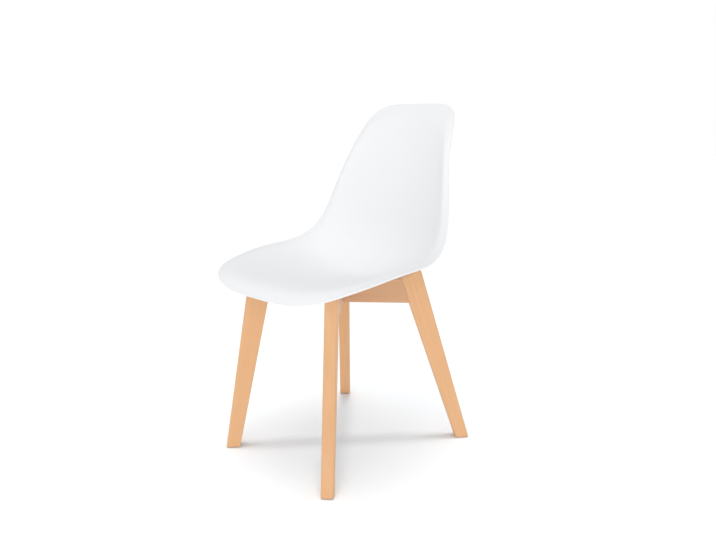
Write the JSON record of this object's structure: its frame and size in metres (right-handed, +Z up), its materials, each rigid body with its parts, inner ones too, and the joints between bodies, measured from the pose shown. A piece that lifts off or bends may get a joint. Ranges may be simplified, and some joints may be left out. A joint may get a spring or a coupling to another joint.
{
  "type": "moulded shell chair",
  "caption": "Armless side chair: a one-piece moulded plastic seat and back on a crossed beech frame with splayed, tapered legs.",
  "frame": {"origin": "on the floor, under the middle of the chair's overall width and depth", "axes": "+Z up, -Y the way the sitter faces, +X the sitter's left"},
  "size_m": [0.4588, 0.5326, 0.8205],
  "materials": {
    "shell_plastic": "satin moulded polypropylene, white",
    "beech": "natural beech, satin lacquer",
    "dowel_beech": "raw beech dowel",
    "steel": "zinc plated",
    "brass": "turned",
    "rubber": "matt black",
    "nylon": "natural nylon, matt"
  },
  "bodies": {
    "root": {"seat_shell": "shell_plastic", "rail_lower": "beech", "rail_upper": "beech", "leg_front_left": "beech", "glide_front_left": "nylon", "dowel_front_left_lower": "dowel_beech", "dowel_front_left_upper": "dowel_beech", "insert_front_left": "brass", "pad_front_left": "rubber", "seat_washer_front_left": "steel", "seat_bolt_front_left": "steel", "leg_front_right": "beech", "glide_front_right": "nylon", "dowel_front_right_lower": "dowel_beech", "dowel_front_right_upper": "dowel_beech", "insert_front_right": "brass", "pad_front_right": "rubber", "seat_washer_front_right": "steel", "seat_bolt_front_right": "steel", "leg_rear_left": "beech", "glide_rear_left": "nylon", "dowel_rear_left_lower": "dowel_beech", "dowel_rear_left_upper": "dowel_beech", "insert_rear_left": "brass", "pad_rear_left": "rubber", "seat_washer_rear_left": "steel", "seat_bolt_rear_left": "steel", "leg_rear_right": "beech", "glide_rear_right": "nylon", "dowel_rear_right_lower": "dowel_beech", "dowel_rear_right_upper": "dowel_beech", "insert_rear_right": "brass", "pad_rear_right": "rubber", "seat_washer_rear_right": "steel", "seat_bolt_rear_right": "steel", "cross_washer_lower": "steel", "cross_washer_upper": "steel", "cross_bolt": "steel", "cross_nut": "steel"}
  },
  "joints": []
}
